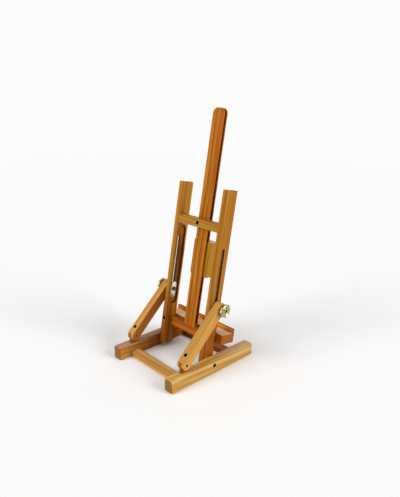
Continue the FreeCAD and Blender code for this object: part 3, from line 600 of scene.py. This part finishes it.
def lobed(angle, radius, z):
    """Scallops round a knob's rim: deep at the rim, fading out towards the hub."""
    if radius < SCALLOP_FROM:
        return radius
    phase = (angle * KNOB_LOBES / (2 * math.pi)) % 1.0
    hollow = max(0.0, math.cos(math.pi * (phase - 0.5) * 1.3)) ** 1.2
    return radius - SCALLOP_DEPTH * min(1.0, (radius - SCALLOP_FROM) / SCALLOP_RUN) * hollow


def knob_mesh():
    """A cast and polished brass knob: hub, lobed rim, dished face and a low boss about its bore."""
    return lathe(KNOB_RIM + KNOB_FACE + [KNOB_RIM[0]], 128, lobed)


def thread_mesh(radius, z0, z1, pitch, depth, segments=28, per_turn=8):
    """A bolt's shank with its thread running up it."""
    rings = int((z1 - z0) / pitch * per_turn)
    profile = [(radius, z0 + (z1 - z0) * step / rings) for step in range(rings + 1)]

    def groove(angle, r, z):
        phase = (z / pitch - angle / (2 * math.pi)) % 1.0
        fade = min(1.0, (z - z0) / pitch, (z1 - z) / pitch)
        return r - depth * max(0.0, fade) * abs(phase * 2 - 1)

    return lathe(profile, segments, groove)


def joined(*meshes):
    vertices = []
    faces = []
    for part_vertices, part_faces in meshes:
        start = len(vertices)
        vertices += part_vertices
        faces += [tuple(index + start for index in face) for face in part_faces]
    return vertices, faces


def crossed_head(radius, z0, height, arm=0.34, depth=0.6):
    """A domed head with a driver's cross sunk in its top, built of rings that follow the cross's outline."""
    segments = 96
    profile = [(radius, z0), (radius, z0 + height * 0.35)]
    for step in range(1, 9):
        angle = math.radians(90 * step / 10)
        profile.append((radius * math.cos(angle * 0.92), z0 + height * (0.35 + 0.65 * math.sin(angle))))
    vertices, faces = lathe(profile, segments)
    cap = list(faces[-1])
    faces = faces[:-1]
    top = profile[-1][1]
    reach_arm = profile[-1][0] * 0.96
    half = arm * reach_arm
    previous = cap
    levels = ((0.98, 0.0), (0.965, 1.0), (0.5, 1.25))
    for share, drop in levels:
        ring = []
        for step in range(segments):
            angle = 2 * math.pi * step / segments
            along = max(abs(math.cos(angle)), abs(math.sin(angle)))
            across = min(abs(math.cos(angle)), abs(math.sin(angle)))
            edge = min(reach_arm / along, half / max(across, 1e-4))
            edge = max(edge, half)
            vertices.append(Vector((math.cos(angle) * edge * share, math.sin(angle) * edge * share,
                                    top - depth * height * drop)) * MM)
            ring.append(len(vertices) - 1)
        for step in range(segments):
            after = (step + 1) % segments
            faces.append((previous[step], previous[after], ring[after], ring[step]))
        previous = ring
    faces.append(tuple(previous))
    return vertices, faces


def stadium_outline(width, low, high, inset, steps=16):
    """A round-ended outline as (across, along) in mm, drawn in from its edge by inset."""
    radius = width / 2
    points = []
    for centre, start in ((high - radius, 0), (low + radius, 180)):
        for step in range(steps + 1):
            angle = math.radians(start + 180 * step / steps)
            points.append(((radius - inset) * math.cos(angle), centre + (radius - inset) * math.sin(angle)))
    return points


def plate_mesh(width, low, high, thickness, bevel):
    """A round-ended plate with eased edges. Its length is along its own Y, and it lies from z = 0 up."""
    levels = ((bevel, 0.0), (bevel * 0.3, bevel * 0.3), (0.0, bevel), (0.0, thickness - bevel),
              (bevel * 0.3, thickness - bevel * 0.3), (bevel, thickness))
    vertices = []
    for inset, z in levels:
        outline = stadium_outline(width, low, high, inset)
        vertices += [Vector((x, y, z)) * MM for x, y in outline]
    count = len(outline)
    faces = []
    for level in range(len(levels) - 1):
        for step in range(count):
            after = (step + 1) % count
            faces.append((level * count + step, level * count + after,
                          (level + 1) * count + after, (level + 1) * count + step))
    faces.append(tuple(reversed(range(count))))
    faces.append(tuple(range((len(levels) - 1) * count, len(levels) * count)))
    return vertices, faces


# ---------------------------------------------------------------- hardware, in mm
BOLT_RADIUS = 2.5
THREAD_PITCH = 0.8
THREAD_DEPTH = 0.35
THREAD_TOP = -0.2                       # just short of the head's seat
HEAD_RADIUS = 4.3
HEAD_HEIGHT = 2.8
WASHER_RADIUS = 7.0
WASHER_THICKNESS = 1.2
WASHER_ROUND = 0.3
PLATE_WIDTH = 15.0
PLATE_ENDS = (-17.0, 14.0)              # below and above the bolt
PLATE_EDGE = 0.5


def reach_x(box):
    """How far a box lies from the middle plane, in mm: its near face, then its far face."""
    return sorted(abs(corner[0]) / MM for corner in box)


for side, sign in (("right", 1), ("left", -1)):
    outward = X_AXIS * sign
    carriage = side + "_bolt_carriage"

    def beside_bolt(x):
        """The point on this side's bolt that lies x mm from the middle plane."""
        return Vector((sign * x * MM, BOLT.y, BOLT.z))

    knob_foot = reach_x(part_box(side + "_knob"))[0]
    piece(side + "_knob_turned", knob_mesh(), BRASS, beside_bolt(knob_foot), aim(outward),
          side + "_knob_turn", "polished_brass", side + "_knob")

    washer_x = reach_x(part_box(side + "_knob_washer"))[0]
    washer_profile = ring_profile(BOLT_RADIUS, WASHER_RADIUS, 0.0, WASHER_THICKNESS, WASHER_ROUND)
    piece(side + "_knob_washer_rounded", lathe(washer_profile), PLATED, beside_bolt(washer_x), aim(outward),
          carriage, "plated_steel", side + "_knob_washer")

    spacer_inner, spacer_outer = reach_x(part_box(side + "_spacer_washer"))
    spacer_profile = ring_profile(BOLT_RADIUS, WASHER_RADIUS, 0.0, spacer_outer - spacer_inner, WASHER_ROUND)
    piece(side + "_spacer_rounded", lathe(spacer_profile), PLATED, beside_bolt(spacer_inner), aim(outward),
          carriage, "plated_steel", side + "_spacer_washer")

    plate_inner, plate_outer = reach_x(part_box(side + "_nut_plate"))
    plate = plate_mesh(PLATE_WIDTH, *PLATE_ENDS, plate_outer - plate_inner, PLATE_EDGE)
    piece(side + "_nut_plate_eased", plate, WARM_NICKEL, beside_bolt(plate_outer), aim(-outward, UP_FRAME),
          carriage, "plated_steel", side + "_nut_plate")

    bolt_end = reach_x(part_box(side + "_slot_bolt"))[1]
    thread = thread_mesh(BOLT_RADIUS, plate_inner - bolt_end, THREAD_TOP, THREAD_PITCH, THREAD_DEPTH)
    bolt_mesh = joined(thread, crossed_head(HEAD_RADIUS, 0.0, HEAD_HEIGHT))
    piece(side + "_slot_bolt_threaded", bolt_mesh, BRONZED, beside_bolt(plate_inner), aim(-outward),
          carriage, "dark_steel", side + "_slot_bolt")

for side in ("right", "left"):
    for name in ("_strut_screw", "_hinge_pin"):
        finish_with(side + name, DARK_STEEL)
for name in ("mast_screws", "tray_screws", "pivot_screws", "clamp_screw"):
    finish_with(name, DARK_STEEL)
finish_with("pivot_washers", PLATED)
finish_with("clamp_insert", BRASS)
CLAMP_KNOB_FOOT = on_frame(0, 39.0, 176.0)
piece("clamp_knob_turned", knob_mesh(), BRASS, CLAMP_KNOB_FOOT, aim(TO_FRONT), "clamp_knob_turn",
      "polished_brass", "clamp_knob")

# ---------------------------------------------------------------- floor, light and camera
FLOOR_RADIUS = 9.0
FLOOR_DROP = 0.0002             # below the easel's underside, so that the two faces don't fight
PALE_GREY = (0.90, 0.90, 0.90, 1.0)
BACKDROP = 0.97
OVERHEAD = 0.30
ROOM_DIRECTION = Vector((-0.74, 0.40, 0.54))
DARK_ROOM = (0.03, 0.03, 0.02)


def stage_floor():
    """A plain pale disc, which fades into the backdrop far from the easel."""
    mesh = bpy.data.meshes.new("floor")
    work = bmesh.new()
    bmesh.ops.create_circle(work, cap_ends=True, segments=48, radius=FLOOR_RADIUS)
    work.to_mesh(mesh)
    work.free()
    floor = bpy.data.objects.new("floor", mesh)
    floor.location.z = -FLOOR_DROP
    bpy.context.scene.collection.objects.link(floor)
    material, tree, shader = new_material("pale_floor")
    shader.inputs["Base Color"].default_value = PALE_GREY
    shader.inputs["Roughness"].default_value = 0.9
    shader.inputs["Specular IOR Level"].default_value = 0.1
    coords = put(tree, "ShaderNodeTexCoord").outputs["Object"]
    distance = vector_math(tree, "LENGTH", coords, output="Value")
    away = mapped(tree, distance, 1.0, 5.0, 0.0, 1.0, "SMOOTHSTEP")
    glow = put(tree, "ShaderNodeEmission", {"Color": (BACKDROP, BACKDROP, BACKDROP, 1), "Strength": 1.0})
    blend = put(tree, "ShaderNodeMixShader", {0: away, 1: shader.outputs[0], 2: glow.outputs[0]})
    output = next(node for node in tree.nodes if node.type == "OUTPUT_MATERIAL")
    tree.links.new(blend.outputs[0], output.inputs[0])
    mesh.materials.append(material)


stage_floor()
world = bpy.data.worlds.new("studio")
world.use_nodes = True
sky = world.node_tree
background = sky.nodes["Background"]
sky_direction = put(sky, "ShaderNodeTexCoord").outputs["Generated"]
height = put(sky, "ShaderNodeSeparateXYZ", {0: sky_direction}).outputs["Z"]
gradient = ramp(sky, height, [(0.17, BACKDROP), (0.42, OVERHEAD)])
# A dark room high behind the camera, which polished metal reflects.
facing_room = dotted(sky, sky_direction, ROOM_DIRECTION.normalized())
room = math_node(sky, "MULTIPLY", ramp(sky, facing_room, [(0.76, 0.0), (0.91, 0.95)]),
                 ramp(sky, height, [(0.26, 0.0), (0.40, 1.0)]))
sky.links.new(mix(sky, room, gradient, DARK_ROOM), background.inputs["Color"])
background.inputs["Strength"].default_value = 1.0
bpy.context.scene.world = world


def softbox(name, towards, strength, spread):
    """A far, wide softbox, which lights the whole floor evenly."""
    data = bpy.data.lights.new(name, "SUN")
    data.energy = strength
    data.angle = math.radians(spread)
    lamp = bpy.data.objects.new(name, data)
    lamp.location = Vector(towards)
    lamp.rotation_euler = Vector(towards).to_track_quat("Z", "Y").to_euler()
    bpy.context.scene.collection.objects.link(lamp)


softbox("right_of_camera", (-0.95, -0.30, 0.55), 1.9, 30)
softbox("left_of_camera", (0.25, 0.95, 0.60), 1.6, 30)
softbox("overhead", (-0.1, 0.1, 1.0), 0.6, 60)

CAMERA_PLACE = Vector((-605.28, 552.31, 473.66)) * MM
CAMERA_RIGHT = Vector((-0.692765, -0.720860, 0.020894))
CAMERA_UP = Vector((0.230896, -0.194263, 0.953388))
CAMERA_BACK = CAMERA_RIGHT.cross(CAMERA_UP)
camera_data = bpy.data.cameras.new("camera")
camera_data.sensor_width = 36.0
camera_data.lens = 34.92
camera = bpy.data.objects.new("camera", camera_data)
camera.matrix_world = Matrix((
    (CAMERA_RIGHT.x, CAMERA_UP.x, CAMERA_BACK.x, CAMERA_PLACE.x),
    (CAMERA_RIGHT.y, CAMERA_UP.y, CAMERA_BACK.y, CAMERA_PLACE.y),
    (CAMERA_RIGHT.z, CAMERA_UP.z, CAMERA_BACK.z, CAMERA_PLACE.z),
    (0, 0, 0, 1)))
bpy.context.scene.collection.objects.link(camera)
bpy.context.scene.camera = camera
bpy.context.scene.view_settings.view_transform = "Standard"

bpy.context.view_layer.update()
